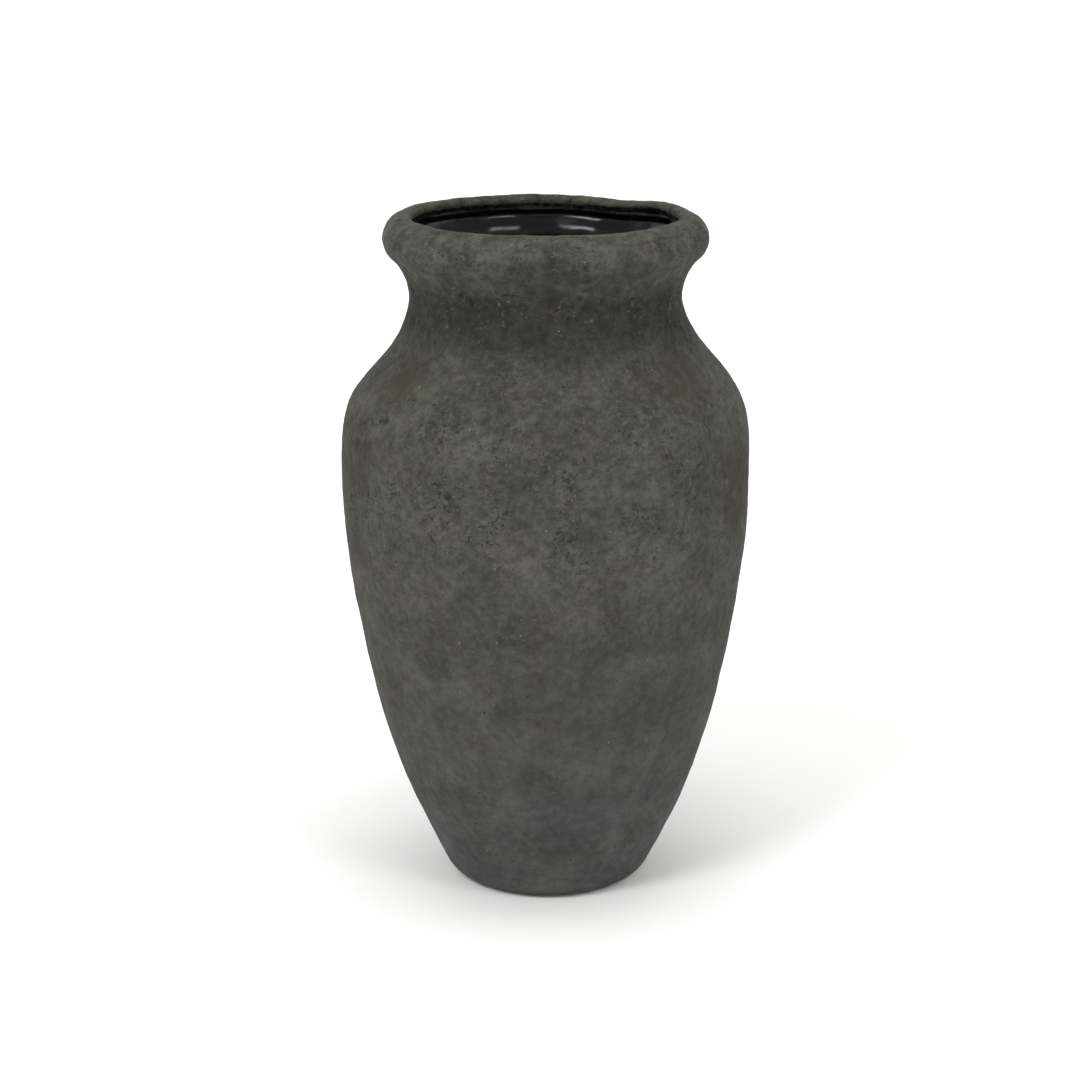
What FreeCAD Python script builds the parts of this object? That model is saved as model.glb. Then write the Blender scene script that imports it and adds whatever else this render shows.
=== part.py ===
import FreeCAD, Part
import math
import os

# A wide-mouthed black clay jar, built by hand from seven luted clay sections: a foot
# slab, the foot, lower, belly and shoulder walls, a neck collar and a rolled rim coil.
# A coat of gritty slip covers the outside and the lip, and a glaze lines the inside.
# Millimetres, +Z up.  The origin is the middle of the flat foot, on the floor.
# Every section is an outline in the XZ plane (X is the radius), turned round Z.

# Driving dimensions of the outside
HEIGHT = 400.0
FOOT_FLAT_RADIUS = 49.2
FOOT_CORNER_RADIUS = 14.5
FOOT_WALL_ANGLE = 64.0  # degrees above level at which the wall leaves the foot
ROLL_RADIUS = 13.2  # rounding of the rolled rim, outside and on top
ROLL_AXIS_RADIUS = 80.6  # from the jar's axis to the middle of the roll
ROLL_START_ANGLE = -50.0  # degrees; where the neck runs into the roll
LIP_RADIUS = 3.6  # tighter rounding of the rim's inner edge

# Outside of the wall between the foot corner and the rim: (radius, height)
WALL_STATIONS = [
    (80.7, 48.5),
    (98.2, 101.0),
    (111.2, 161.7),
    (118.6, 222.0),
    (119.4, 262.0),
    (114.9, 291.0),
    (104.9, 307.2),
    (91.2, 323.4),
    (81.8, 339.5),
    (78.8, 351.7),
    (80.9, 364.0),
]

# Clay and coats
FOOT_THICKNESS = 12.0  # floor of the jar, glaze included
WALL_AT_FOOT = 12.0
WALL_AT_NECK = 8.4
COAT_THICKNESS = 0.8  # slip outside and glaze inside
BARE_FOOT_ANGLE = -55.0  # the slip is wiped off the foot corner below this angle

# Inside of the rim: the coil overhangs a crease, and the collar's edge bulges below it
CREASE_DROP = 11.8
CREASE_RADIUS = 78.6
BULGE_DROP = 17.2
BULGE_RADIUS = 75.2
THROAT_DROP = 28.0
THROAT_RADIUS = 72.4

# Inside of the foot: the floor is flat in the middle and sweeps up into the wall
FLOOR_FLAT_RADIUS = 34.0
FLOOR_SWEEP = (55.0, 22.5)  # radius and height halfway round the sweep

# Lap joints between the clay sections: (height outside, height inside)
LAP_WIDTH = 3.0
FOOT_JOINT = (14.0, 19.0)
FOOT_WALL_JOINT = (80.0, 87.0)
BELLY_JOINT = (150.0, 157.0)
SHOULDER_JOINT = (281.0, 287.0)
NECK_JOINT = (349.0, 355.0)
RIM_LAP_WIDTH = 4.0  # the rim's lap runs from the start of the roll to the crease

BEYOND = 300.0  # further out than anything in the section


def point(radius, height):
    return FreeCAD.Vector(radius, 0, height)


def on_circle(centre, radius, degrees):
    turn = math.radians(degrees)
    return centre + point(radius * math.cos(turn), radius * math.sin(turn))


def arc(centre, radius, start, end):
    middle = (start + end) / 2
    places = [on_circle(centre, radius, degrees) for degrees in (start, middle, end)]
    return Part.Arc(*places).toShape()


def line(start, end):
    return Part.LineSegment(start, end).toShape()


def smooth_curve(points, start_direction, end_direction):
    """A curve through all the points, with its end directions given as unit vectors."""
    curve = Part.BSplineCurve()
    ends = {"InitialTangent": start_direction, "FinalTangent": end_direction}
    curve.interpolate(Points=points, Scale=False, **ends)
    return curve


def sunk(curve, depth):
    """The same curve moved to its left by depth, which is into the clay."""
    if depth == 0:
        return curve
    knots = curve.getKnots()
    halfway = [(low + high) / 2 for low, high in zip(knots, knots[1:])]
    moved = []
    for place in sorted(knots + halfway):
        along = curve.tangent(place)[0]
        moved.append(curve.value(place) + point(-along.z, along.x) * depth)
    return smooth_curve(moved, curve.tangent(knots[0])[0], curve.tangent(knots[-1])[0])


foot_centre = point(FOOT_FLAT_RADIUS, FOOT_CORNER_RADIUS)
foot_end_angle = FOOT_WALL_ANGLE - 90
roll_centre = point(ROLL_AXIS_RADIUS, HEIGHT - ROLL_RADIUS)
roll_start = on_circle(roll_centre, ROLL_RADIUS, ROLL_START_ANGLE)
lip_centre = point(ROLL_AXIS_RADIUS, HEIGHT - LIP_RADIUS)

outside_curve = smooth_curve(
    [on_circle(foot_centre, FOOT_CORNER_RADIUS, foot_end_angle)]
    + [point(*station) for station in WALL_STATIONS]
    + [roll_start],
    on_circle(point(0, 0), 1, FOOT_WALL_ANGLE),
    on_circle(point(0, 0), 1, ROLL_START_ANGLE + 90),
)


def wall_thickness(height):
    return WALL_AT_FOOT + (WALL_AT_NECK - WALL_AT_FOOT) * height / HEIGHT


def inside_of(station):
    """The place on the inner face that lies square behind a place on the outside."""
    outer = point(*station)
    along = outside_curve.tangent(outside_curve.parameter(outer))[0]
    return outer + point(-along.z, along.x) * wall_thickness(outer.z)


inside_curve = smooth_curve(
    [
        on_circle(lip_centre, LIP_RADIUS, 180),
        point(CREASE_RADIUS, HEIGHT - CREASE_DROP),
        point(BULGE_RADIUS, HEIGHT - BULGE_DROP),
        point(THROAT_RADIUS, HEIGHT - THROAT_DROP),
    ]
    + [inside_of(station) for station in reversed(WALL_STATIONS[:-1])]
    + [point(*FLOOR_SWEEP), point(FLOOR_FLAT_RADIUS, FOOT_THICKNESS)],
    point(0, -1),
    point(-1, 0),
)


def outside_edges(depth):
    """From the bare foot up to the inner edge of the lip, sunk by depth."""
    return [
        arc(foot_centre, FOOT_CORNER_RADIUS - depth, BARE_FOOT_ANGLE, foot_end_angle),
        sunk(outside_curve, depth).toShape(),
        arc(roll_centre, ROLL_RADIUS - depth, ROLL_START_ANGLE, 90),
        arc(lip_centre, LIP_RADIUS - depth, 90, 180),
    ]


def inside_edges(depth):
    """From the inner edge of the lip down to the middle of the floor, sunk by depth."""
    floor_height = FOOT_THICKNESS - depth
    return [
        sunk(inside_curve, depth).toShape(),
        line(point(FLOOR_FLAT_RADIUS, floor_height), point(0, floor_height)),
    ]


def section(edges):
    return Part.Face(Part.Wire(Part.sortEdges(edges)[0]))


def middle_of_wall(joint):
    """Radius of the middle of the clay wall, halfway up a joint."""
    height = sum(joint) / 2
    level = line(point(0, height), point(BEYOND, height))
    crossings = [vertex.X for vertex in clay.common(level).Vertexes]
    return sum(crossings) / len(crossings)


def lap_line(joint, width):
    """A stepped lap across the wall, from far outside to the axis."""
    outside_height, inside_height = joint
    middle_radius = middle_of_wall(joint)
    return [
        point(BEYOND, outside_height),
        point(middle_radius + width / 2, outside_height),
        point(middle_radius - width / 2, inside_height),
        point(0, inside_height),
    ]


def level_line(height):
    return [point(BEYOND, height), point(0, height)]


def between(lower, upper):
    """The region between two lines that both run from far outside to the axis."""
    corners = lower + upper[::-1]
    return Part.Face(Part.makePolygon(corners + corners[:1]))


def only_solid(face, name):
    """Turn a section round the axis and check that it makes one sound solid."""
    shape = face.revolve(point(0, 0), FreeCAD.Vector(0, 0, 1), 360)
    solid = Part.Solid(shape.Shells[0])
    if not solid.isValid() or solid.Volume <= 0:
        raise ValueError(name + " is not a valid solid")
    print(name, round(solid.Volume / 1000, 1), "cm3")
    return solid


# The bare clay of the foot stands out from under the slip by the slip's thickness
slip_foot_edge = line(
    on_circle(foot_centre, FOOT_CORNER_RADIUS, BARE_FOOT_ANGLE),
    on_circle(foot_centre, FOOT_CORNER_RADIUS - COAT_THICKNESS, BARE_FOOT_ANGLE),
)
lip_seam = line(
    on_circle(lip_centre, LIP_RADIUS, 180),
    on_circle(lip_centre, LIP_RADIUS - COAT_THICKNESS, 180),
)
clay_floor = FOOT_THICKNESS - COAT_THICKNESS

slip = section(outside_edges(0) + outside_edges(COAT_THICKNESS) + [slip_foot_edge, lip_seam])
glaze = section(
    inside_edges(0)
    + inside_edges(COAT_THICKNESS)
    + [lip_seam, line(point(0, FOOT_THICKNESS), point(0, clay_floor))]
)
clay = section(
    [
        line(point(0, clay_floor), point(0, 0)),
        line(point(0, 0), point(FOOT_FLAT_RADIUS, 0)),
        arc(foot_centre, FOOT_CORNER_RADIUS, -90, BARE_FOOT_ANGLE),
        slip_foot_edge,
    ]
    + outside_edges(COAT_THICKNESS)
    + inside_edges(COAT_THICKNESS)
)

foot_line = lap_line(FOOT_JOINT, LAP_WIDTH)
foot_wall_line = lap_line(FOOT_WALL_JOINT, LAP_WIDTH)
belly_line = lap_line(BELLY_JOINT, LAP_WIDTH)
shoulder_line = lap_line(SHOULDER_JOINT, LAP_WIDTH)
neck_line = lap_line(NECK_JOINT, LAP_WIDTH)
rim_line = lap_line((roll_start.z, HEIGHT - CREASE_DROP), RIM_LAP_WIDTH)

sections = {
    "foot_slab": clay.common(between(level_line(0), foot_line)),
    "foot_wall": clay.common(between(foot_line, foot_wall_line)),
    "lower_wall": clay.common(between(foot_wall_line, belly_line)),
    "belly_wall": clay.common(between(belly_line, shoulder_line)),
    "shoulder_wall": clay.common(between(shoulder_line, neck_line)),
    "neck_collar": clay.common(between(neck_line, rim_line)),
    "rim_coil": clay.common(between(rim_line, level_line(HEIGHT))),
    "inner_glaze": glaze,
    "outer_slip": slip,
}

os.makedirs("parts", exist_ok=True)
for name, face in sections.items():
    only_solid(face.Faces[0], name).exportStep("parts/" + name + ".step")
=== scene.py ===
import bpy
import numpy as np
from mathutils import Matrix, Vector


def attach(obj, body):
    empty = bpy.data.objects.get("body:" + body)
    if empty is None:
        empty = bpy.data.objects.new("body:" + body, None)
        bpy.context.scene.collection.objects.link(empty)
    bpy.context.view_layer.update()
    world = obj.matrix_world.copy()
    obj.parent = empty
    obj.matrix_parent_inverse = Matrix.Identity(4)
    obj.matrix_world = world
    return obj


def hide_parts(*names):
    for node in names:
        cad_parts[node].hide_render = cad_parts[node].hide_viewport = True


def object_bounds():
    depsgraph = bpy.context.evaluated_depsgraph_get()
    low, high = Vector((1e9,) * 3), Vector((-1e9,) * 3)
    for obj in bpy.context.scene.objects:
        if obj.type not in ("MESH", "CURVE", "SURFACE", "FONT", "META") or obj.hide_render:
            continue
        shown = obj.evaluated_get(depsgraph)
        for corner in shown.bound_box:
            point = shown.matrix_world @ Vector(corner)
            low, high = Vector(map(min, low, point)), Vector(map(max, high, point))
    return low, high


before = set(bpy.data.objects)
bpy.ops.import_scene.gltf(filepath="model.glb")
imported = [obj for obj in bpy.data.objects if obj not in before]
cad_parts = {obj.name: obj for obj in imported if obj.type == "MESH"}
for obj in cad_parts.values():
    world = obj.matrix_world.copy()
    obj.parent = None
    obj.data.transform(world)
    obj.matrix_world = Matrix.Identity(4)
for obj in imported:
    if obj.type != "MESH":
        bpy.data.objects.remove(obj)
cad_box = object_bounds()

# A tall black clay jar: a gritty matte slip over hand-built clay, a rolled rim and a
# glossy black lining.  The outline repeats the CAD's, in its millimetres; MM turns it
# into metres by the frame's own height.  Angles run round +Z from +X, so the front,
# which faces the camera, is at -90 degrees.

HEIGHT = 400.0
MM = (cad_box[1].z - cad_box[0].z) / HEIGHT

# The outline, as in the CAD
FOOT_FLAT_RADIUS = 49.2
FOOT_CORNER_RADIUS = 14.5
FOOT_WALL_ANGLE = 64.0
BARE_FOOT_ANGLE = -55.0
ROLL_RADIUS = 13.2
ROLL_AXIS_RADIUS = 80.6
ROLL_START_ANGLE = -50.0
LIP_RADIUS = 3.6
WALL_STATIONS = [
    (80.7, 48.5),
    (98.2, 101.0),
    (111.2, 161.7),
    (118.6, 222.0),
    (119.4, 262.0),
    (114.9, 291.0),
    (104.9, 307.2),
    (91.2, 323.4),
    (81.8, 339.5),
    (78.8, 351.7),
    (80.9, 364.0),
]
WALL_AT_FOOT = 12.0
WALL_AT_NECK = 8.4
COAT_THICKNESS = 0.8
FLOOR_HEIGHT = 12.0
FLOOR_FLAT_RADIUS = 34.0
FLOOR_SWEEP = (55.0, 22.5)
INSIDE_RIM = [(78.6, 388.2), (75.2, 382.8), (72.4, 372.0)]

# How finely the skins are meshed: rings, and points in each ring
COAT_ROWS, COAT_BACK_ROWS, COAT_COLUMNS = 102, 16, 840
GLAZE_ROWS, GLAZE_BACK_ROWS, GLAZE_COLUMNS = 200, 100, 330
SOLE_ROWS, SOLE_BACK_ROWS, SOLE_COLUMNS = 90, 30, 360

# The coat is made in bands that follow the clay sections under it: (name, lowest height)
COAT_BANDS = [
    ("slip_foot", None),
    ("slip_lower_wall", 75.0),
    ("slip_belly", 150.0),
    ("slip_upper_belly", 216.0),
    ("slip_shoulder", 281.0),
    ("slip_neck", 349.0),
    ("slip_rim", 376.7),
]
CLAY_NODES = [
    "foot_slab",
    "foot_wall",
    "lower_wall",
    "belly_wall",
    "shoulder_wall",
    "neck_collar",
    "rim_coil",
]

# The unevenness of the hand-made jar
SEED = 20
LEAN = -1.2  # how far the top stands to the left of the foot
SHOULDER_SHIFT = 1.7  # and how far the top of the shoulder stands back to the right
RIM_RISES = [  # (angle, spread, rise)
    (55, 13, -1.2),
    (27, 12, 0.9),
    (150, 22, 0.5),
    (-128, 20, -0.4),
    (-20, 14, 0.4),
]
FOLD_START, FOLD_END, FOLD_HEIGHT = -68, -44, 395.0
PIT_ROW_ANGLE, PIT_ROW_HEIGHT = -96, 395.6
CHIP_ANGLE, CHIP_HEIGHT = -109.4, 389.5
BARE_LIP_ANGLE = 40  # where the glaze comes up over the lip
BEAD_HEIGHT = 391.4  # where the glaze has run into a bead inside the lip
BEAD_WIDTH = 1.5
BEAD_RISE = 1.25

# How the skins meet: each thins out and dives under its neighbour
COAT_TAPER = 2.2  # over this length the coat thins out to nothing
COAT_SUNK = 0.42  # how deep its feathered edge ends
COAT_PAST_LIP = 2.2  # how far it comes down inside the lip
COAT_WORN_BACK = 2.4  # and how much less it does where the glaze comes up
GLAZE_OVERLAP = 3.0  # how far the glaze starts under the coat
GLAZE_SUNK = 0.75  # how deep it starts there
GLAZE_THICKNESS = 0.85
SOLE_OVERLAP = 2.6  # how far the bare sole runs on behind the coat
SOLE_SUNK = 0.4  # how deep it ends there
SOLE_THICKNESS = 1.2
CLAY_SUNK = 0.3  # keeps the clay's flat facets under the coats


# ---------------------------------------------------------------- curves


def on_circle(centre, radius, degrees):
    turn = np.radians(degrees)
    return np.stack([centre[0] + radius * np.cos(turn), centre[1] + radius * np.sin(turn)], -1)


def unit(degrees):
    return on_circle((0, 0), 1, degrees)


def arc(centre, radius, start, end):
    count = max(2, int(abs(end - start) / 2))
    return on_circle(centre, radius, np.linspace(start, end, count))


def smooth_curve(points, start, end, step=0.25):
    """Points every step along the smooth curve through the given ones, with its end directions."""
    points = np.array(points, float)
    spans = np.linalg.norm(np.diff(points, axis=0), axis=1)
    slopes = np.diff(points, axis=0) / spans[:, None]
    matrix = np.eye(len(points))
    right = np.zeros((len(points), 2))
    right[0], right[-1] = start, end
    for i in range(1, len(points) - 1):
        before, after = 1 / spans[i - 1], 1 / spans[i]
        matrix[i, i - 1 : i + 2] = before, 2 * (before + after), after
        right[i] = 3 * (before * slopes[i - 1] + after * slopes[i])
    speeds = np.linalg.solve(matrix, right)
    pieces = []
    for i, span in enumerate(spans):
        t = np.linspace(0, 1, max(2, int(span / step)))[:, None]
        pieces.append(
            (2 * t**3 - 3 * t**2 + 1) * points[i]
            + (t**3 - 2 * t**2 + t) * span * speeds[i]
            + (3 * t**2 - 2 * t**3) * points[i + 1]
            + (t**3 - t**2) * span * speeds[i + 1]
        )
    return np.concatenate(pieces)


class Outline:
    """A curve in the (radius, height) plane that can be read by the length along it."""

    def __init__(self, parts):
        points = np.concatenate(parts)
        steps = np.linalg.norm(np.diff(points, axis=0), axis=1)
        self.points = points[np.concatenate([[True], steps > 1e-6])]
        steps = np.linalg.norm(np.diff(self.points, axis=0), axis=1)
        self.lengths = np.concatenate([[0], np.cumsum(steps)])
        self.total = self.lengths[-1]

    def at(self, length):
        radius = np.interp(length, self.lengths, self.points[:, 0])
        height = np.interp(length, self.lengths, self.points[:, 1])
        return radius, height

    def into_clay(self, length, reach=0.6):
        """The direction to the left of the curve, as (radial, upward)."""
        low = self.at(np.clip(length - reach, 0, self.total))
        high = self.at(np.clip(length + reach, 0, self.total))
        along = np.stack([high[0] - low[0], high[1] - low[1]], -1)
        along /= np.linalg.norm(along, axis=-1, keepdims=True)
        return -along[..., 1], along[..., 0]

    def length_at_height(self, height):
        """How far along the curve it first reaches a height."""
        return self.lengths[np.argmax(self.points[:, 1] >= height)]


# The whole skin: under the foot, up the outside, over the rim, and down to the floor inside

foot_centre = (FOOT_FLAT_RADIUS, FOOT_CORNER_RADIUS)
roll_centre = (ROLL_AXIS_RADIUS, HEIGHT - ROLL_RADIUS)
lip_centre = (ROLL_AXIS_RADIUS, HEIGHT - LIP_RADIUS)
foot_end_angle = FOOT_WALL_ANGLE - 90
MIDDLE = 0.5  # radius of the smallest ring, at the middle of the foot and of the floor


def wall_curve():
    start = on_circle(foot_centre, FOOT_CORNER_RADIUS, foot_end_angle)
    end = on_circle(roll_centre, ROLL_RADIUS, ROLL_START_ANGLE)
    points = [start] + WALL_STATIONS + [end]
    return smooth_curve(points, unit(FOOT_WALL_ANGLE), unit(ROLL_START_ANGLE + 90))


def inside_curve(wall):
    """Down inside the rim, then square behind the outside stations, and out over the floor."""
    behind = []
    for radius, height in reversed(WALL_STATIONS[:-1]):
        near = np.argmin(np.hypot(wall[:, 0] - radius, wall[:, 1] - height))
        along = wall[near + 2] - wall[near - 2]
        along /= np.linalg.norm(along)
        thickness = WALL_AT_FOOT + (WALL_AT_NECK - WALL_AT_FOOT) * height / HEIGHT
        behind.append((radius - along[1] * thickness, height + along[0] * thickness))
    start = on_circle(lip_centre, LIP_RADIUS, 180)
    floor = [FLOOR_SWEEP, (FLOOR_FLAT_RADIUS, FLOOR_HEIGHT)]
    return smooth_curve([start] + INSIDE_RIM + behind + floor, (0, -1), (-1, 0))


wall = wall_curve()
under_foot = [
    np.array([(MIDDLE, 0), (FOOT_FLAT_RADIUS, 0)]),
    arc(foot_centre, FOOT_CORNER_RADIUS, -90, BARE_FOOT_ANGLE),
]
up_to_lip = under_foot + [
    arc(foot_centre, FOOT_CORNER_RADIUS, BARE_FOOT_ANGLE, foot_end_angle),
    wall,
    arc(roll_centre, ROLL_RADIUS, ROLL_START_ANGLE, 90),
    arc(lip_centre, LIP_RADIUS, 90, 180),
]
skin = Outline(up_to_lip + [inside_curve(wall), np.array([(MIDDLE, FLOOR_HEIGHT)])])
bare_length = Outline(under_foot).total
lip_length = Outline(up_to_lip).total


# ---------------------------------------------------------------- noise

TABLE_SIZE = 4096
random = np.random.default_rng(SEED)
GRADIENTS = random.normal(size=(TABLE_SIZE, 3))
GRADIENTS /= np.linalg.norm(GRADIENTS, axis=1, keepdims=True)
SPOTS = random.uniform(0, 1, (TABLE_SIZE, 5))  # place in the cell, size and chance
SPREAD = np.array([73856093, 19349663, 83492791])


def drawn(table, cells, salt):
    """One row of a table of random numbers for each cell of a grid."""
    mixed = cells * SPREAD
    return table[(mixed[:, 0] ^ mixed[:, 1] ^ mixed[:, 2] ^ (salt * 7919)) & (TABLE_SIZE - 1)]


def noise(points, cell, salt):
    """Smooth noise, mostly from -1 to 1, with lumps about one cell across.

    Each salt gives a noise of its own.
    """
    place = points / cell
    low = np.floor(place).astype(np.int64)
    part = place - low
    fade = part**3 * (part * (part * 6 - 15) + 10)
    total = np.zeros(len(points))
    for corner in np.ndindex(2, 2, 2):
        corner = np.array(corner)
        slope = (drawn(GRADIENTS, low + corner, salt) * (part - corner)).sum(1)
        total += slope * np.prod(np.where(corner, fade, 1 - fade), axis=1)
    return total * 1.8


def pits(points, cell, smallest, largest, density, salt):
    """Depth from 0 to 1 of round pits, one at most in each cell, where density allows."""
    low = np.floor(points / cell).astype(np.int64)
    deepest = np.zeros(len(points))
    for corner in np.ndindex(3, 3, 3):
        cells = low + np.array(corner) - 1
        spot = drawn(SPOTS, cells, salt)
        gap = np.linalg.norm(points - (cells + spot[:, :3]) * cell, axis=1)
        size = smallest + (largest - smallest) * spot[:, 3] ** 2
        depth = np.clip(1 - (gap / size) ** 2, 0, 1)
        deepest = np.maximum(deepest, np.where(spot[:, 4] < density, depth, 0))
    return deepest


def ramp(value, low, high):
    """0 at low, 1 at high and smooth between; low may be the larger."""
    part = np.clip((value - low) / (high - low), 0, 1)
    return part * part * (3 - 2 * part)


def hump(value, middle, width):
    return np.exp(-(((value - middle) / width) ** 2))


def turn_from(angle, middle):
    """Degrees from an angle round the jar, the short way."""
    return (angle - middle + 180) % 360 - 180


def angles_round(count):
    """Evenly spaced angles round the jar, from -180 to 180."""
    return turn_from(np.arange(count) * 360 / count, 0)


# ---------------------------------------------------------------- shape


def hand_shaped(points):
    """Every layer moved alike by the slow unevenness that hands leave, and by the lean."""
    angle = np.degrees(np.arctan2(points[:, 1], points[:, 0]))
    radius = np.hypot(points[:, 0], points[:, 1])
    height = points[:, 2]
    turn = np.radians(angle)
    swell = 0.4 * np.cos(2 * turn + 1.1) + 0.3 * np.cos(3 * turn + height / 70)
    swell += 0.55 * noise(points, 46, 1) + 0.28 * noise(points, 19, 2)
    swell += 0.3 * ramp(height, 370, 390) * noise(points, 11, 3)
    swell *= ramp(height, 2, 40)
    rise = 0.35 * noise(points, 30, 4)
    for middle, spread, size in RIM_RISES:
        rise += size * hump(turn_from(angle, middle), 0, spread)
    moved = points.copy()
    moved[:, :2] *= (1 + swell / np.maximum(radius, 25))[:, None]
    moved[:, 0] += LEAN * ramp(height, 0, 320) + SHOULDER_SHIFT * hump(height, 314, 24)
    moved[:, 2] += rise * ramp(height, 362, 392)
    return moved


def pitted_share(points, angle, height):
    """How thickly the pits lie: in patches, most of them on the shoulder and under the rim."""
    share = 0.08 + 0.34 * hump(height, 268, 52) + 0.4 * hump(height, 361, 11)
    share += 0.22 * ramp(height, 378, 384)
    patches = 0.75 * noise(points, 24, 11) + 0.45 * noise(points, 9, 12)
    share = share * (1 + 1.9 * patches) + 0.12 * patches
    share += 0.8 * hump(turn_from(angle, PIT_ROW_ANGLE), 0, 5) * hump(height, PIT_ROW_HEIGHT, 1.2)
    return np.clip(share, 0, 0.9)


def fold_relief(angle, height):
    """A fold in the rim coil, closed badly: a narrow groove under a raised edge."""
    along = ramp(angle, FOLD_START, FOLD_START + 6) * ramp(angle, FOLD_END, FOLD_END - 6)
    middle = FOLD_HEIGHT - 0.8 * np.sin(np.radians((angle - FOLD_START) * 9))
    return along * (0.3 * hump(height, middle + 1.4, 1.0) - 0.55 * hump(height, middle, 0.55))


def coat_relief(points, angle):
    """Millimetres that the gritty coat stands proud, the depth of its pits and their share."""
    height = points[:, 2]
    share = pitted_share(points, angle, height)
    torn = noise(points, 3.4, 21) + 0.6 * noise(points, 1.7, 22)
    crevices = ramp(torn, 1.15 - 1.2 * share, 1.75 - 1.2 * share)
    hollow = np.maximum(crevices, pits(points, 2.6, 0.4, 0.95, 0.06 + 0.7 * share, 23))
    brushed = points * np.array([1, 1, 0.14])
    smooth_below = ramp(height, 250, 120)
    rough = 1 - 0.55 * smooth_below
    lumpy = 1 + 0.9 * ramp(height, 340, 372)
    relief = lumpy * (0.12 * noise(points, 9, 31) + 0.1 * rough * noise(points, 4.2, 32))
    relief += 0.05 * rough * noise(points, 2, 33)
    relief += 0.05 * smooth_below * noise(brushed, 2.4, 34)
    relief += fold_relief(angle, height)
    chip = hump(turn_from(angle, CHIP_ANGLE), 0, 1.3) * hump(height, CHIP_HEIGHT, 1.6)
    relief -= 0.3 * hollow + 0.35 * chip
    return np.clip(relief, -0.72, 0.6), hollow, share


def glaze_relief(points):
    """Soft waves in the glaze, and the bead into which it has run inside the lip."""
    height = points[:, 2]
    waves = 0.28 * noise(points * np.array([1, 1, 0.4]), 11, 51)
    waves += 0.05 * noise(points, 5, 52)
    waves += 0.3 * noise(points, 24, 53)
    bead_height = BEAD_HEIGHT + 0.7 * noise(points * np.array([1, 1, 0]), 26, 54)
    bead = BEAD_RISE * hump(height, bead_height, BEAD_WIDTH)
    return waves * (0.25 + 0.75 * ramp(height, 396, 388)) + bead


def sole_relief(points):
    """The curved marks of the wire that cut the jar from its board; never below the floor."""
    marks = np.hypot(points[:, 0] + 90, points[:, 1] - 40)
    marks = np.sin(marks * 2.1 + 1.2 * noise(points, 14, 61)) * 0.5 + 0.5
    dents = ramp(noise(points, 9, 62), 0.2, 0.9)
    return -(0.16 * marks + 0.25 * dents + 0.08 * np.abs(noise(points, 2.2, 63)))


# ---------------------------------------------------------------- meshes


def flat(grid):
    return grid.reshape(-1, grid.shape[-1])


def skin_points(lengths, angles, proud):
    """Points over the skin's outline, standing proud of it, before any hand shaping."""
    radius, height = skin.at(lengths)
    radial, upward = skin.into_clay(lengths)
    radius = radius - radial * proud
    height = height - upward * proud
    turn = np.radians(angles)
    return np.stack([radius * np.cos(turn), radius * np.sin(turn), height], -1)


def grid_normals(grid):
    """Normals of rings of points, measured between each point's neighbours."""
    across = np.roll(grid, -1, axis=1) - np.roll(grid, 1, axis=1)
    along = np.empty_like(grid)
    along[1:-1] = grid[2:] - grid[:-2]
    along[0] = grid[1] - grid[0]
    along[-1] = grid[-1] - grid[-2]
    found = np.cross(across, along)
    return found / np.maximum(np.linalg.norm(found, axis=2, keepdims=True), 1e-12)


def fan(first, columns, centre, after):
    """Triangles that close a ring with a point at its middle, after it or before it."""
    here = np.arange(columns)
    right = (here + 1) % columns
    middle = np.full(columns, centre)
    order = (first + here, first + right, middle)
    return np.stack(order if after else order[::-1], -1).tolist()


def add_mesh(name, points, faces, normals, fields):
    """A smooth-shaded mesh object from points in millimetres."""
    mesh = bpy.data.meshes.new(name)
    mesh.from_pydata((points * MM).tolist(), [], faces)
    mesh.shade_smooth()
    for label, values in fields.items():
        attribute = mesh.attributes.new(label, "FLOAT", "POINT")
        attribute.data.foreach_set("value", values.astype(np.float32))
    mesh.normals_split_custom_set_from_vertices(normals.tolist())
    made = bpy.data.objects.new(name, mesh)
    bpy.context.scene.collection.objects.link(made)
    return made


def add_shell(name, lengths, angles, relief, fields, depth, back_rows, closed_at=None):
    """A thin closed skin: rings of detailed front, then plain rings of back at a depth.

    lengths has one extra ring at each end, which only serves to find the normals.
    closed_at says whether the skin's first or last ring is closed with a point.
    """
    columns = lengths.shape[1]
    front = hand_shaped(flat(skin_points(lengths, angles, relief))).reshape(*lengths.shape, 3)
    front_normals = grid_normals(front)[1:-1]
    front = front[1:-1]
    picked = np.linspace(len(lengths) - 2, 1, back_rows).round().astype(int)
    back_lengths = lengths[picked]
    back_angles = np.broadcast_to(angles[0], back_lengths.shape)
    back = hand_shaped(flat(skin_points(back_lengths, back_angles, -depth)))
    back = back.reshape(back_rows, columns, 3)
    points = np.concatenate([front, back])
    normals = flat(np.concatenate([front_normals, grid_normals(back)]))
    rows = len(points)
    here = np.arange(rows * columns).reshape(rows, columns)
    above = np.roll(here, -1, axis=0)
    quads = np.stack([here, np.roll(here, -1, 1), np.roll(above, -1, 1), above], -1)
    count = rows * columns
    fans = []
    points = flat(points)
    if closed_at:
        at_end = closed_at == "end"
        open_row = len(front) - 1 if at_end else rows - 1
        ring_rows = (open_row, open_row + 1) if at_end else (0, open_row)
        rings = [row * columns for row in ring_rows]
        quads = np.delete(quads, open_row, axis=0)
        fans = fan(rings[0], columns, count, at_end)
        fans += fan(rings[1], columns, count + 1, not at_end)
        centres = [points[ring : ring + columns].mean(0) for ring in rings]
        facing = [normals[ring : ring + columns].mean(0) for ring in rings]
        points = np.concatenate([points, centres])
        normals = np.concatenate([normals, facing])
    faces = quads.reshape(-1, 4).tolist() + fans
    padded = {}
    for label, values in fields.items():
        kept = values.reshape(lengths.shape)[1:-1].ravel()
        padded[label] = np.pad(kept, (0, len(points) - len(kept)))
    return add_mesh(name, points, faces, normals, padded)


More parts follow.
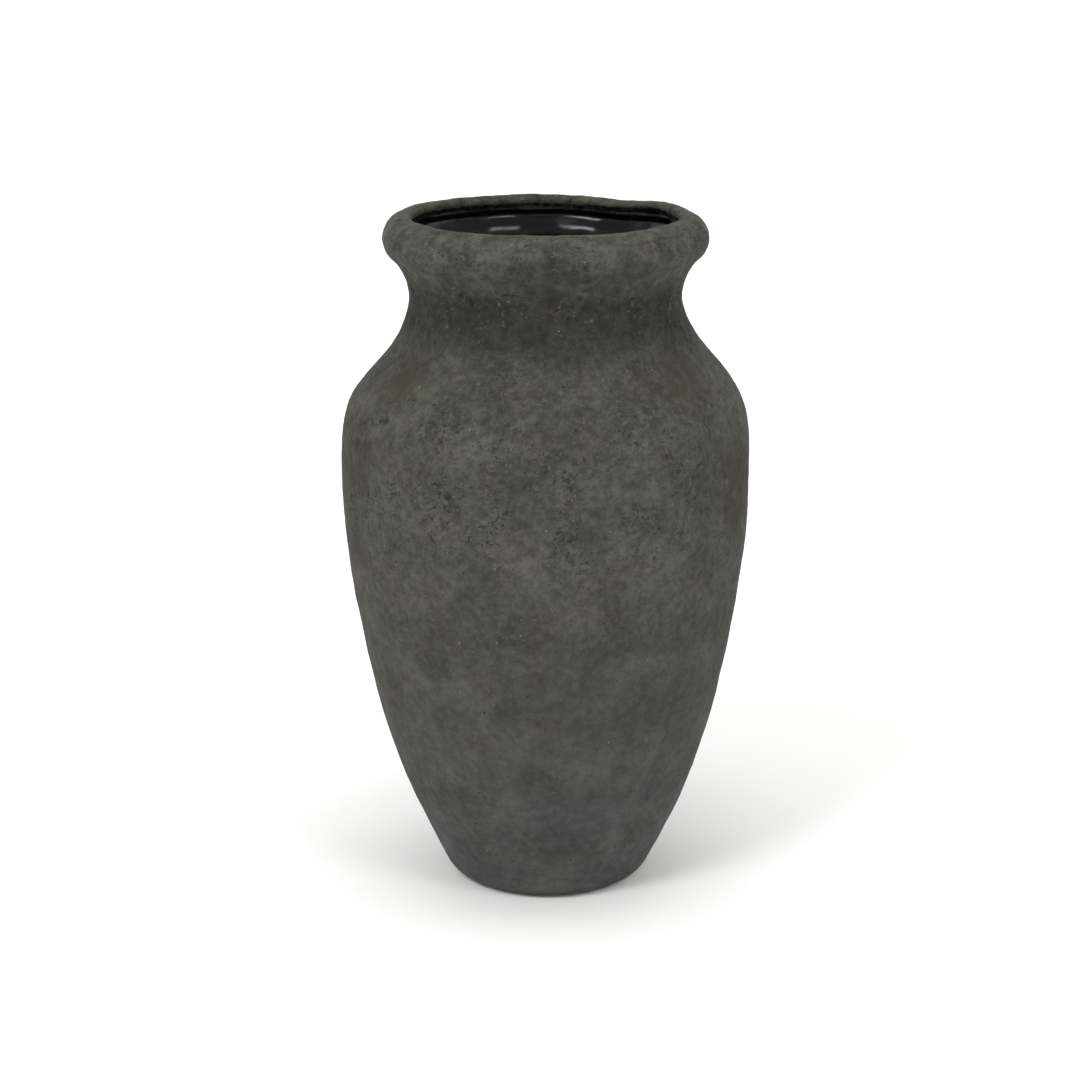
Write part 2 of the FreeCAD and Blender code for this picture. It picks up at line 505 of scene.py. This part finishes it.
def ring_grid(low, high, rows, columns, bunched=0.0):
    """Lengths along the skin and angles round it, with one extra ring at each end.

    bunched, from 0 to 1, is how much closer together the rings are at the low end.
    """
    angles = angles_round(columns)
    share = np.arange(-1, rows + 1)[:, None] / (rows - 1)
    share = share * (1 - bunched) + bunched * share**2
    lengths = np.broadcast_to(low, columns) + (high - low) * share
    return np.clip(lengths, 0, skin.total), np.broadcast_to(angles, lengths.shape)


def edge_noise(angles, radius, salt):
    """A ragged line round the jar, mostly from -1 to 1."""
    ring = skin_points(np.zeros_like(angles), angles, 0)
    ring = ring / MIDDLE * radius
    return 0.8 * noise(ring, 14, salt) + 0.4 * noise(ring, 5, salt + 1)


def coat_start(angles):
    """Where the coat starts above the wiped foot."""
    return bare_length + 0.9 * edge_noise(angles, FOOT_FLAT_RADIUS, 44)


def coat_end(angles):
    """Where the coat stops inside the lip."""
    worn_back = COAT_WORN_BACK * hump(turn_from(angles, BARE_LIP_ANGLE), 0, 20)
    ragged = edge_noise(angles, ROLL_AXIS_RADIUS, 41)
    return lip_length + COAT_PAST_LIP + ragged - worn_back


def add_coat(name, low, high):
    """One band of the gritty coat between two lengths along the skin."""
    lengths, angles = ring_grid(low, high, COAT_ROWS, COAT_COLUMNS)
    plain = flat(skin_points(lengths, angles, 0))
    relief, hollow, share = coat_relief(plain, angles.ravel())
    relief = relief.reshape(lengths.shape)
    start, end = coat_start(angles[0]), coat_end(angles[0])
    whole = ramp(lengths, start, start + COAT_TAPER) * ramp(lengths, end, end - COAT_TAPER)
    relief = relief * whole - COAT_SUNK * (1 - whole)
    fields = {"hollow": hollow, "pitted": share}
    piece = add_shell(name, lengths, angles, relief, fields, COAT_THICKNESS, COAT_BACK_ROWS)
    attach(piece, "root")
    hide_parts("outer_slip")
    return piece


def add_glaze():
    """The lining, from under the coat's edge at the lip to the middle of the floor."""
    end = coat_end(angles_round(GLAZE_COLUMNS))
    start = end - GLAZE_OVERLAP
    lengths, angles = ring_grid(start, skin.total, GLAZE_ROWS, GLAZE_COLUMNS, bunched=0.65)
    plain = flat(skin_points(lengths, angles, 0))
    waves = glaze_relief(plain).reshape(lengths.shape)
    past = lengths - end
    level = 0.5 * ramp(past, -2.5, -0.6) + 0.2 * ramp(past, 2, 9) - GLAZE_SUNK
    relief = np.clip(level + waves * ramp(past, -0.5, 4), -GLAZE_SUNK, 1.2)
    fields = {"thin": 1 - ramp(past, 0, 3)}
    backing = (GLAZE_THICKNESS, GLAZE_BACK_ROWS, "end")
    piece = add_shell("glaze_lining", lengths, angles, relief, fields, *backing)
    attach(piece, "root")
    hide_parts("inner_glaze")
    return piece


def add_sole():
    """The bare clay under the foot, up to the coat's lower edge and a little behind it."""
    top = bare_length + SOLE_OVERLAP
    lengths, angles = ring_grid(0, top, SOLE_ROWS, SOLE_COLUMNS)
    plain = flat(skin_points(lengths, angles, 0))
    relief = sole_relief(plain).reshape(lengths.shape)
    relief -= SOLE_SUNK * ramp(lengths, bare_length + 0.6, top)
    backing = (SOLE_THICKNESS, SOLE_BACK_ROWS, "start")
    piece = add_shell("bare_sole", lengths, angles, relief, {}, *backing)
    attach(piece, "root")
    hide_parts("foot_slab")
    return piece


def add_clay(node):
    """A clay section under the coats: the CAD's shape with the same hand-made unevenness."""
    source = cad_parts[node].data
    count = len(source.vertices)
    places = np.empty(count * 3)
    source.vertices.foreach_get("co", places)
    places = places.reshape(-1, 3) / MM
    _, first, same = np.unique(
        np.round(places, 3), axis=0, return_index=True, return_inverse=True
    )
    same = same.ravel()
    faces = [[int(same[corner]) for corner in face.vertices] for face in source.polygons]
    faces = [face for face in faces if len(set(face)) == len(face)]
    mesh = bpy.data.meshes.new(node + "_clay")
    mesh.from_pydata(places[first].tolist(), [], faces)
    facing = np.empty(len(first) * 3)
    mesh.vertex_normals.foreach_get("vector", facing)
    moved = hand_shaped(places[first] - CLAY_SUNK * facing.reshape(-1, 3)) * MM
    mesh.vertices.foreach_set("co", moved.ravel())
    mesh.update()
    piece = bpy.data.objects.new(node + "_clay", mesh)
    bpy.context.scene.collection.objects.link(piece)
    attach(piece, "root")
    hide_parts(node)
    return piece


# ---------------------------------------------------------------- materials


class Shading:
    """A material's node tree, with a few short ways to add to it."""

    def __init__(self, name):
        self.material = bpy.data.materials.new(name)
        self.material.use_nodes = True
        self.tree = self.material.node_tree
        self.surface = self.tree.nodes["Principled BSDF"]
        self.place = self.add("ShaderNodeTexCoord").outputs["Object"]

    def add(self, kind, inputs=None, **settings):
        node = self.tree.nodes.new(kind)
        for name, value in settings.items():
            setattr(node, name, value)
        for key, value in (inputs or {}).items():
            if isinstance(value, bpy.types.NodeSocket):
                self.tree.links.new(value, node.inputs[key])
            else:
                node.inputs[key].default_value = value
        return node

    def noise(self, lump, detail=2.0, stretch=(1, 1, 1), shift=0.0, roughness=0.5):
        """Noise from 0 to 1 with lumps about so many millimetres across."""
        inputs = {"Vector": self.place, "Scale": stretch, "Location": (shift, shift, shift)}
        placed = self.add("ShaderNodeMapping", inputs)
        inputs = {"Vector": placed.outputs[0], "Scale": 1 / (lump * MM)}
        inputs.update({"Detail": detail, "Roughness": roughness})
        return self.add("ShaderNodeTexNoise", inputs).outputs["Fac"]

    def cells(self, size, shift=0.0):
        """Distance from the nearest of scattered points, in cells, and its own number."""
        placed = self.add("ShaderNodeMapping", {"Vector": self.place, "Location": (shift, 0, shift)})
        inputs = {"Vector": placed.outputs[0], "Scale": 1 / (size * MM)}
        found = self.add("ShaderNodeTexVoronoi", inputs)
        own = self.add("ShaderNodeSeparateColor", {0: found.outputs["Color"]})
        return found.outputs["Distance"], own.outputs[0]

    def ramp(self, value, low, high, start=0.0, end=1.0):
        """From start at low to end at high, smooth between and level outside."""
        names = ("Value", "From Min", "From Max", "To Min", "To Max")
        inputs = dict(zip(names, (value, low, high, start, end)))
        return self.add("ShaderNodeMapRange", inputs, interpolation_type="SMOOTHSTEP").outputs[0]

    def math(self, operation, first, second):
        inputs = {0: first, 1: second}
        return self.add("ShaderNodeMath", inputs, operation=operation).outputs[0]

    def mix(self, share, first, second, blend="MIX"):
        inputs = {"Factor": share, 6: colour(first), 7: colour(second)}
        return self.add("ShaderNodeMix", inputs, data_type="RGBA", blend_type=blend).outputs[2]

    def field(self, name):
        return self.add("ShaderNodeAttribute", attribute_name=name).outputs["Fac"]

    def near(self, centre, reach):
        """1 at a place on the jar, in millimetres, falling to 0 at its reach."""
        centre = tuple(value * MM for value in centre)
        away = self.add("ShaderNodeVectorMath", {0: self.place, 1: centre}, operation="DISTANCE")
        return self.ramp(away.outputs["Value"], reach * MM, 0.3 * reach * MM)

    def height(self):
        """Height above the floor, in metres."""
        return self.add("ShaderNodeSeparateXYZ", {0: self.place}).outputs["Z"]

    def bump(self, value, depth, strength=1.0, after=None):
        """A normal for bumps so many millimetres high, on top of an earlier one."""
        inputs = {"Height": value, "Distance": depth * MM, "Strength": strength}
        if after is not None:
            inputs["Normal"] = after
        return self.add("ShaderNodeBump", inputs).outputs[0]

    def finish(self, **inputs):
        """Set the surface's inputs, with _ for a space in their names."""
        for name, value in inputs.items():
            socket = self.surface.inputs[name.replace("_", " ")]
            if isinstance(value, bpy.types.NodeSocket):
                self.tree.links.new(value, socket)
            else:
                socket.default_value = value
        return self.material


def colour(value):
    """A colour from a socket, from one grey level or from three levels."""
    if isinstance(value, bpy.types.NodeSocket):
        return value
    if isinstance(value, (int, float)):
        return (value, value, value, 1)
    return (*value, 1)


# Colours, as linear light
OLIVE = (0.0555, 0.0553, 0.0488)
BROWN = (0.0588, 0.0547, 0.047)
GREEN = (0.0545, 0.0556, 0.0436)
COOL_GREY = (0.055, 0.0555, 0.058)
CRUMB = (0.098, 0.096, 0.086)
# Painted shade in the crevices and pits
CREVICE_SHADE = 0.012
GRIT = (0.2, 0.195, 0.18)
CHALK = (0.11, 0.11, 0.102)
# Painted shade along the foot's lower edge
UNDER_EDGE_SHADE = (0.022, 0.021, 0.022)
CHALK_LINE = (0.2, 0.2, 0.19)
CHALK_LINE_PLACE, CHALK_LINE_REACH = (-46, -34, 3), 46
STAIN = (0.036, 0.0315, 0.0185)
BLACK_GLAZE = (0.0025, 0.0025, 0.003)
THIN_GLAZE = (0.012, 0.012, 0.011)
DARK_CLAY = (0.040, 0.039, 0.037)
PALE_CLAY = (0.064, 0.062, 0.059)
FLOOR_COLOURS = (0.90, 0.90, 0.895), (0.92, 0.92, 0.915)

# How light the slip is at each height, in millimetres: painted shade in the neck under the rim,
# lighter towards the foot
SHADE_AND_TONE_BY_HEIGHT = [
    (0, 1.18),
    (70, 1.0),
    (160, 0.96),
    (235, 1.03),
    (290, 0.93),
    (322, 0.86),
    (345, 0.44),
    (358, 0.46),
    (374, 0.92),
    (395, 0.93),
]
STAINS = [  # (centre, reach, amount)
    ((111, -44, 252), 42, 0.85),
    ((-110, -44, 266), 34, 0.6),
    ((80, -66, 318), 30, 0.6),
    ((-84, -56, 318), 28, 0.6),
    ((-108, -50, 215), 20, 0.5),
]


def gritty_slip():
    """The matte outside coat."""
    s = Shading("gritty_slip_finish")
    hollow, pitted = s.field("hollow"), s.field("pitted")
    height = s.height()
    smooth_below = s.ramp(height, 0.25, 0.12)

    # Cloudy shades: olive, brown, green and, low down, a cooler grey
    tone = s.mix(s.ramp(s.noise(24, 5, shift=0.1), 0.46, 0.66), OLIVE, BROWN)
    tone = s.mix(s.ramp(s.noise(27, 5, shift=0.3), 0.46, 0.66), tone, GREEN)
    cool = s.math("MULTIPLY", s.ramp(height, 0.2, 0.0), s.ramp(s.noise(30, 4, shift=0.5), 0.3, 0.6))
    tone = s.mix(cool, tone, COOL_GREY)

    # Lighter and darker, from hand-wide clouds down to single grains
    clouds = s.ramp(s.noise(34, 3, shift=0.7), 0.3, 0.7, 0.82, 1.18)
    lumps = s.ramp(s.noise(5, 6, shift=0.9, roughness=0.72), 0.3, 0.7, 0.64, 1.36)
    softer = s.ramp(s.noise(5, 6, shift=0.9, roughness=0.68), 0.3, 0.7, 0.81, 1.19)
    streaks = s.ramp(s.noise(9, 4, stretch=(1, 1, 0.2), shift=0.2), 0.3, 0.7, 0.94, 1.06)
    smooth = s.math("MULTIPLY", softer, streaks)
    tone = s.mix(1.0, tone, grey(s, clouds), "MULTIPLY")
    smears = s.ramp(s.noise(13, 3, shift=0.15), 0.3, 0.7, 0.74, 1.26)
    upper = s.ramp(height, 0.35, 0.385, 0.35, 1.0)
    tone = s.mix(upper, tone, s.mix(1.0, tone, grey(s, smears), "MULTIPLY"))
    tone = s.mix(1.0, tone, s.mix(smooth_below, grey(s, lumps), grey(s, smooth)), "MULTIPLY")
    # Painted shade in the neck under the rim, and lighter towards the foot, by height
    tone = s.mix(1.0, tone, by_height(s, height, SHADE_AND_TONE_BY_HEIGHT), "MULTIPLY")

    # Pale crumbs beside the crevices, and painted shade in the crevices and pinholes
    crumbs = s.ramp(s.noise(2.6, 3, shift=0.4, roughness=0.6), 0.57, 0.7)
    amount = s.math("ADD", s.math("MULTIPLY", pitted, 0.9), 0.18)
    tone = s.mix(s.math("MULTIPLY", crumbs, amount), tone, CRUMB)
    worms = s.math("ABSOLUTE", s.math("SUBTRACT", s.noise(2.8, 2, shift=0.6), 0.5), 0.0)
    worms = s.math("MULTIPLY", s.ramp(worms, 0.06, 0.0), s.ramp(pitted, 0.1, 0.5))
    worms = s.math("MULTIPLY", worms, s.ramp(s.noise(1.5, 2, shift=0.35), 0.49, 0.56))
    gap, own = s.cells(2.4)
    often = s.math("ADD", s.math("MULTIPLY", pitted, 0.8), 0.08)
    dots = s.math("MULTIPLY", s.ramp(gap, 0.2, 0.1), s.math("LESS_THAN", own, often))
    pit_shade = s.math("MAXIMUM", s.ramp(hollow, 0.1, 0.65, 0, 0.66), s.math("MULTIPLY", dots, 0.85))
    pit_shade = s.math("MAXIMUM", pit_shade, s.math("MULTIPLY", worms, 0.55))
    tone = s.mix(pit_shade, tone, CREVICE_SHADE)

    # Pale grit and scratches, here and there in groups
    groups = s.ramp(s.noise(45, 2, shift=0.8), 0.5, 0.64, 0.03, 0.35)
    gap, own = s.cells(7, shift=0.4)
    specks = s.math("MULTIPLY", s.ramp(gap, 0.08, 0.04), s.math("LESS_THAN", own, groups))
    tone = s.mix(specks, tone, GRIT)
    chalk = s.ramp(s.noise(4.5, 3, stretch=(1, 1, 1.7), shift=0.9), 0.66, 0.74, 0, 0.45)
    tone = s.mix(chalk, tone, CHALK)

    # Painted shade along the lower edge, where it turns under, with a line of chalk at one side
    edge_shade = s.ramp(height, 0.006, 0.003, 0, 0.45)
    tone = s.mix(edge_shade, tone, UNDER_EDGE_SHADE)
    at_side = s.near(CHALK_LINE_PLACE, CHALK_LINE_REACH)
    line = s.math("MULTIPLY", s.ramp(height, 0.0052, 0.0036), at_side)
    line = s.math("MULTIPLY", line, s.ramp(s.noise(3, 3), 0.48, 0.58))
    tone = s.mix(line, tone, CHALK_LINE)

    # Olive-brown stains at both sides of the shoulder
    ragged = s.ramp(s.noise(9, 5, shift=0.5), 0.3, 0.5)
    for centre, reach, amount in STAINS:
        stain = s.math("MULTIPLY", s.near(centre, reach), ragged)
        tone = s.mix(s.math("MULTIPLY", stain, amount), tone, STAIN)

    fine = s.bump(s.noise(1.6, 4, roughness=0.6), 0.14, 0.4)
    fine = s.bump(s.math("SUBTRACT", 1.0, dots), 0.25, 0.7, fine)
    fine = s.bump(s.math("SUBTRACT", 1.0, worms), 0.2, 0.7, fine)
    rough = s.ramp(s.noise(9, 3, shift=0.6), 0.35, 0.7, 0.82, 0.97)
    return s.finish(Base_Color=tone, Roughness=rough, Normal=fine, Specular_IOR_Level=0.2)


def by_height(shading, height, stops):
    """A grey level that changes smoothly through (height in millimetres, level) stops."""
    share = shading.math("DIVIDE", height, HEIGHT * MM)
    node = shading.add("ShaderNodeValToRGB", {0: share})
    ramp = node.color_ramp
    ramp.interpolation = "EASE"
    ramp.elements.remove(ramp.elements[0])
    for i, (place, level) in enumerate(stops):
        stop = ramp.elements[0] if i == 0 else ramp.elements.new(place / HEIGHT)
        stop.position = place / HEIGHT
        stop.color = (level, level, level, 1)
    return node.outputs[0]


def grey(shading, value):
    """The same value in all three channels."""
    inputs = {0: value, 1: value, 2: value}
    return shading.add("ShaderNodeCombineColor", inputs).outputs[0]


def black_glaze():
    """The glossy lining, worn thin near its upper edge."""
    s = Shading("black_glaze_finish")
    thin = s.math("MULTIPLY", s.field("thin"), s.ramp(s.noise(2.5, 3), 0.4, 0.6))
    tone = s.mix(thin, BLACK_GLAZE, THIN_GLAZE)
    dull = s.ramp(s.noise(14, 4, shift=0.2), 0.5, 0.75)
    rough = s.ramp(dull, 0, 1, 0.2, 0.34)
    ripple = s.bump(s.noise(7, 3), 0.6, 0.3)
    pinholes, own = s.cells(5)
    pinholes = s.math("MULTIPLY", s.ramp(pinholes, 0.08, 0.04), s.math("LESS_THAN", own, 0.25))
    ripple = s.bump(s.math("SUBTRACT", 1.0, pinholes), 0.2, 0.7, ripple)
    return s.finish(Base_Color=tone, Roughness=rough, Normal=ripple, Specular_IOR_Level=0.2)


def bare_clay():
    """The dry clay under the foot and inside the wall."""
    s = Shading("bare_clay_finish")
    tone = s.mix(s.ramp(s.noise(18, 4), 0.35, 0.65), DARK_CLAY, PALE_CLAY)
    grain = s.ramp(s.noise(1.2, 5, roughness=0.7, shift=0.1), 0.3, 0.7, 0.7, 1.3)
    tone = s.mix(1.0, tone, grey(s, grain), "MULTIPLY")
    gap, own = s.cells(4)
    grit = s.math("MULTIPLY", s.ramp(gap, 0.14, 0.08), s.math("LESS_THAN", own, 0.3))
    tone = s.mix(grit, tone, GRIT)
    fine = s.bump(s.noise(0.7, 4, roughness=0.7), 0.15, 0.6)
    return s.finish(Base_Color=tone, Roughness=0.95, Normal=fine, Specular_IOR_Level=0.25)


# ---------------------------------------------------------------- the jar

slip_material, glaze_material, clay_material = gritty_slip(), black_glaze(), bare_clay()

all_angles = angles_round(COAT_COLUMNS)
edges = [coat_start(all_angles)]
edges += [skin.length_at_height(height) for _, height in COAT_BANDS[1:]]
edges.append(coat_end(all_angles))
for (band_name, _), low_edge, high_edge in zip(COAT_BANDS, edges, edges[1:]):
    add_coat(band_name, low_edge, high_edge).data.materials.append(slip_material)

add_glaze().data.materials.append(glaze_material)
add_sole().data.materials.append(clay_material)
for clay_node in CLAY_NODES:
    add_clay(clay_node).data.materials.append(clay_material)


# ---------------------------------------------------------------- studio

STAGE_RADIUS = 3.6
STAGE_CURVE = 1.2
STAGE_HEIGHT = 2.6
STAGE_COLUMNS = 128
WORLD_STRENGTH = 0.55


def add_stage():
    """A round pale floor that curves up into a wall."""
    centre = (STAGE_RADIUS - STAGE_CURVE, STAGE_CURVE)
    profile = [(0.02, 0.0), (0.5, 0.0)]
    profile += [tuple(p) for p in arc(centre, STAGE_CURVE, -90, 0)]
    profile.append((STAGE_RADIUS, STAGE_HEIGHT))
    columns = STAGE_COLUMNS
    turns = np.radians(np.arange(columns) * 360 / columns)
    points = [(r * np.cos(t), r * np.sin(t), z) for r, z in profile for t in turns]
    faces = []
    for row in range(len(profile) - 1):
        for i in range(columns):
            j = (i + 1) % columns
            low, high = row * columns, (row + 1) * columns
            faces.append([low + i, low + j, high + j, high + i])
    faces.append(list(range(columns)))
    mesh = bpy.data.meshes.new("studio_floor")
    mesh.from_pydata(points, [], faces)
    mesh.shade_smooth()
    floor = bpy.data.objects.new("studio_floor", mesh)
    bpy.context.scene.collection.objects.link(floor)
    s = Shading("studio_floor_finish")
    tone = s.mix(s.noise(400, 2), *FLOOR_COLOURS)
    mesh.materials.append(s.finish(Base_Color=tone, Roughness=0.9))


def aim(thing, target):
    """Turn a light or camera so that it looks at a place."""
    direction = Vector(target) - thing.location
    thing.rotation_euler = direction.to_track_quat("-Z", "Y").to_euler()


def add_softbox(name, location, size, power, target=(0, 0, 0.2)):
    """A rectangular light, (width, height) in metres, that faces its target."""
    light = bpy.data.lights.new(name, "AREA")
    light.shape = "RECTANGLE"
    light.size, light.size_y = size
    light.energy = power
    box = bpy.data.objects.new(name, light)
    box.location = location
    aim(box, target)
    bpy.context.scene.collection.objects.link(box)


add_stage()
add_softbox("key", (-1.4, -1.9, 2.35), (0.85, 0.85), 43)
add_softbox("fill", (1.5, -1.9, 2.25), (0.75, 0.75), 19)
add_softbox("overhead", (0, -0.3, 2.4), (1.0, 0.6), 12)
add_softbox("side", (2.3, 0.7, 1.1), (0.8, 1.2), 3)
add_softbox("backdrop", (0, 1.0, 2.3), (2.4, 0.8), 34, target=(0, 3.6, 0.6))

world = bpy.data.worlds.new("studio")
world.use_nodes = True
background = world.node_tree.nodes["Background"]
background.inputs["Color"].default_value = (1, 1, 1, 1)
background.inputs["Strength"].default_value = WORLD_STRENGTH
bpy.context.scene.world = world

# The camera looks a little down on the jar, and is shifted so that the jar stands just
# right of the middle of the picture.
CAMERA_PLACE = (0, -1.38794, 0.60402)
CAMERA_TARGET = (0, 0, 0.20424)
CAMERA_LENS = 80.91
SHIFT_X, SHIFT_Y = -0.0069, 0.0022

lens = bpy.data.cameras.new("camera")
lens.sensor_width = 36
lens.lens = CAMERA_LENS
lens.shift_x, lens.shift_y = SHIFT_X, SHIFT_Y
camera = bpy.data.objects.new("camera", lens)
camera.location = CAMERA_PLACE
aim(camera, CAMERA_TARGET)
bpy.context.scene.collection.objects.link(camera)
bpy.context.scene.camera = camera
bpy.context.scene.view_settings.view_transform = "Standard"
